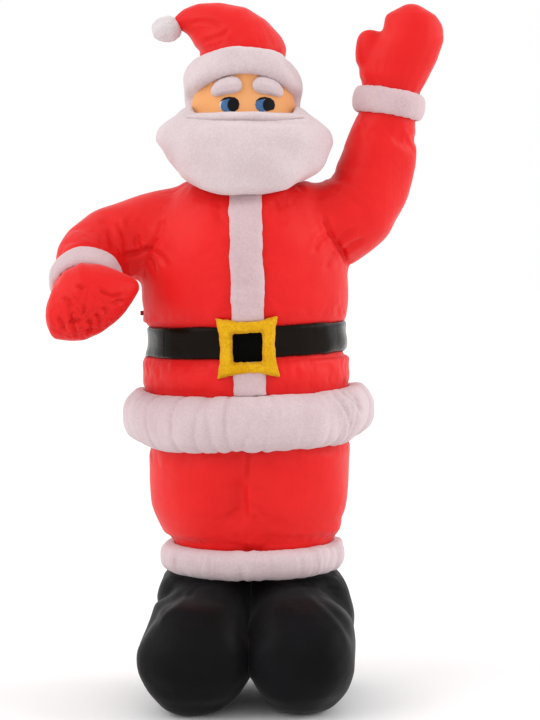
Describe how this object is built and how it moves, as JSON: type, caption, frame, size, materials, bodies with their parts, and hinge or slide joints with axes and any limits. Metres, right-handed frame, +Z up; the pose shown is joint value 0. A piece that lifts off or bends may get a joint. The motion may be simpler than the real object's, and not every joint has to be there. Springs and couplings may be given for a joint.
{
  "type": "inflatable santa",
  "caption": "Inflatable Santa for a garden: stands on two boots, one arm raised in a wave, the other bent across the belly.",
  "frame": {"origin": "on the floor, under the middle of the figure's box", "axes": "+Z up, the face looks along -Y, the raised arm is on +X"},
  "size_m": [1.334, 0.911, 2.4],
  "materials": {
    "red_nylon": "thin woven nylon, air-filled, soft sheen",
    "white_plush": "brushed white nylon, matt, slightly furry",
    "black_nylon": "thin woven nylon, satin",
    "belt_nylon": "flat woven nylon band",
    "gold_felt": "padded golden felt",
    "skin_nylon": "smooth woven nylon",
    "eye_print": "printed patch",
    "red_webbing": "folded webbing"
  },
  "bodies": {
    "root": {"trousers": "red_nylon", "right_boot": "black_nylon", "left_boot": "black_nylon", "trouser_trim": "white_plush", "coat": "red_nylon", "coat_hem_trim": "white_plush", "front_placket": "white_plush", "belt": "belt_nylon", "belt_buckle": "gold_felt", "right_sleeve": "red_nylon", "left_sleeve": "red_nylon", "right_cuff": "white_plush", "left_cuff": "white_plush", "right_mitten": "red_nylon", "left_mitten": "red_nylon", "head": "skin_nylon", "hair": "white_plush", "beard": "white_plush", "moustache": "white_plush", "right_eyebrow": "white_plush", "left_eyebrow": "white_plush", "right_eye": "eye_print", "left_eye": "eye_print", "hat": "red_nylon", "hat_band": "white_plush", "pompom": "white_plush", "tether_tab": "red_webbing"}
  },
  "joints": []
}
